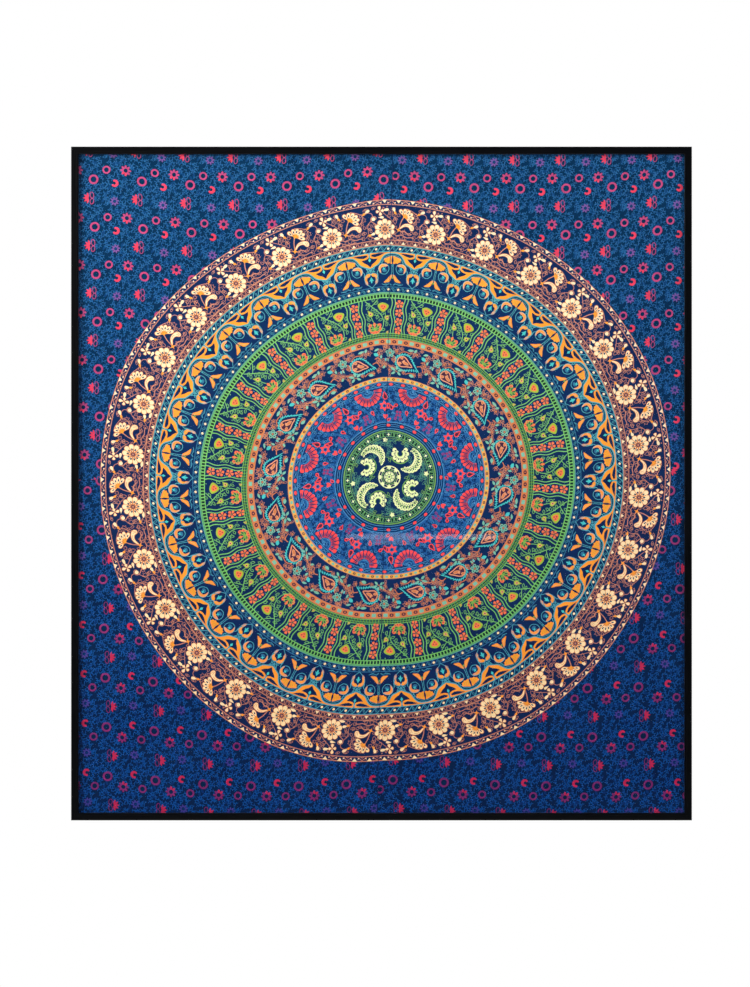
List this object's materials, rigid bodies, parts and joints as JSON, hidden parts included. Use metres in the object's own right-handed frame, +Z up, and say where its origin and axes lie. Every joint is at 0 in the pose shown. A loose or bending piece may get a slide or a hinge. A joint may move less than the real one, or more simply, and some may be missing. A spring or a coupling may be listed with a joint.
{
  "type": "tapestry wall hanging",
  "caption": "Large printed cotton mandala tapestry, stretched over a board and strainer behind clear acrylic in a slim black mitred frame, hung on an aluminium cleat.",
  "frame": {"origin": "middle of the wall cleat's row of screw holes, on the wall plane", "axes": "+X across to the right as seen from the front, +Y from the front into the wall, +Z up"},
  "size_m": [2.0632, 0.055, 2.2392],
  "materials": {
    "black_lacquer": "satin black lacquer on a timber moulding",
    "zinc_plate": "zinc-plated pressed steel",
    "screw_steel": "zinc-plated steel screws",
    "acrylic": "clear polished acrylic sheet",
    "spacer_plastic": "black extruded plastic",
    "printed_cotton": "screen-printed plain-weave cotton",
    "staple_wire": "galvanised wire",
    "mount_board": "foam board with a paper face",
    "strainer_pine": "planed pine",
    "birch_ply": "sanded birch plywood",
    "hardboard": "smooth brown hardboard",
    "button_brass": "brass-plated pressed steel",
    "cleat_aluminium": "mill-finish aluminium extrusion",
    "bumper_rubber": "moulded rubber"
  },
  "bodies": {
    "wall_mount": {"wall_cleat": "cleat_aluminium"},
    "frame": {"frame_rail_top": "black_lacquer", "frame_rail_bottom": "black_lacquer", "frame_rail_left": "black_lacquer", "frame_rail_right": "black_lacquer", "corner_plate_top_left": "zinc_plate", "corner_plate_top_right": "zinc_plate", "corner_plate_bottom_left": "zinc_plate", "corner_plate_bottom_right": "zinc_plate", "corner_plate_screws": "screw_steel", "glazing": "acrylic", "spacer_top": "spacer_plastic", "spacer_bottom": "spacer_plastic", "spacer_left": "spacer_plastic", "spacer_right": "spacer_plastic", "cloth_left": "printed_cotton", "cloth_right": "printed_cotton", "centre_seam": "printed_cotton", "cloth_staples": "staple_wire", "mount_board": "mount_board", "strainer_top": "strainer_pine", "strainer_bottom": "strainer_pine", "strainer_left": "strainer_pine", "strainer_right": "strainer_pine", "crossbar_middle": "strainer_pine", "crossbar_upper": "strainer_pine", "crossbar_lower": "strainer_pine", "panel_screws": "screw_steel", "packing_strip": "birch_ply", "packing_strip_screws": "screw_steel", "backing_board": "hardboard", "turn_button_screws": "screw_steel", "frame_cleat": "cleat_aluminium", "frame_cleat_screws": "screw_steel", "bumper_left_low": "bumper_rubber", "bumper_right_low": "bumper_rubber", "bumper_left_mid": "bumper_rubber", "bumper_right_mid": "bumper_rubber"},
    "turn_button_top_1": {"turn_button_top_1": "button_brass"},
    "turn_button_top_2": {"turn_button_top_2": "button_brass"},
    "turn_button_top_3": {"turn_button_top_3": "button_brass"},
    "turn_button_bottom_1": {"turn_button_bottom_1": "button_brass"},
    "turn_button_bottom_2": {"turn_button_bottom_2": "button_brass"},
    "turn_button_bottom_3": {"turn_button_bottom_3": "button_brass"},
    "turn_button_left_1": {"turn_button_left_1": "button_brass"},
    "turn_button_left_2": {"turn_button_left_2": "button_brass"},
    "turn_button_left_3": {"turn_button_left_3": "button_brass"},
    "turn_button_right_1": {"turn_button_right_1": "button_brass"},
    "turn_button_right_2": {"turn_button_right_2": "button_brass"},
    "turn_button_right_3": {"turn_button_right_3": "button_brass"}
  },
  "joints": [
    {"name": "lift_off", "type": "slide", "parent": "wall_mount", "child": "frame", "axis": [0, 0, 1], "range_m": [0, 0.015]},
    {"name": "turn_top_1", "type": "hinge", "parent": "frame", "child": "turn_button_top_1", "pos_m": [-0.7, -0.008, -0.024], "axis": [0, 1, 0], "range_deg": [-90, 90]},
    {"name": "turn_top_2", "type": "hinge", "parent": "frame", "child": "turn_button_top_2", "pos_m": [0, -0.008, -0.024], "axis": [0, 1, 0], "range_deg": [-90, 90]},
    {"name": "turn_top_3", "type": "hinge", "parent": "frame", "child": "turn_button_top_3", "pos_m": [0.7, -0.008, -0.024], "axis": [0, 1, 0], "range_deg": [-90, 90]},
    {"name": "turn_bottom_1", "type": "hinge", "parent": "frame", "child": "turn_button_bottom_1", "pos_m": [0.7, -0.008, -2.1527], "axis": [0, 1, 0], "range_deg": [-90, 90]},
    {"name": "turn_bottom_2", "type": "hinge", "parent": "frame", "child": "turn_button_bottom_2", "pos_m": [0, -0.008, -2.1527], "axis": [0, 1, 0], "range_deg": [-90, 90]},
    {"name": "turn_bottom_3", "type": "hinge", "parent": "frame", "child": "turn_button_bottom_3", "pos_m": [-0.7, -0.008, -2.1527], "axis": [0, 1, 0], "range_deg": [-90, 90]},
    {"name": "turn_left_1", "type": "hinge", "parent": "frame", "child": "turn_button_left_1", "pos_m": [-1.0241, -0.008, -1.7406], "axis": [0, 1, 0], "range_deg": [-90, 90]},
    {"name": "turn_left_2", "type": "hinge", "parent": "frame", "child": "turn_button_left_2", "pos_m": [-1.0241, -0.008, -1.0406], "axis": [0, 1, 0], "range_deg": [-90, 90]},
    {"name": "turn_left_3", "type": "hinge", "parent": "frame", "child": "turn_button_left_3", "pos_m": [-1.0241, -0.008, -0.3406], "axis": [0, 1, 0], "range_deg": [-90, 90]},
    {"name": "turn_right_1", "type": "hinge", "parent": "frame", "child": "turn_button_right_1", "pos_m": [1.0241, -0.008, -0.3406], "axis": [0, 1, 0], "range_deg": [-90, 90]},
    {"name": "turn_right_2", "type": "hinge", "parent": "frame", "child": "turn_button_right_2", "pos_m": [1.0241, -0.008, -1.0406], "axis": [0, 1, 0], "range_deg": [-90, 90]},
    {"name": "turn_right_3", "type": "hinge", "parent": "frame", "child": "turn_button_right_3", "pos_m": [1.0241, -0.008, -1.7406], "axis": [0, 1, 0], "range_deg": [-90, 90]}
  ]
}
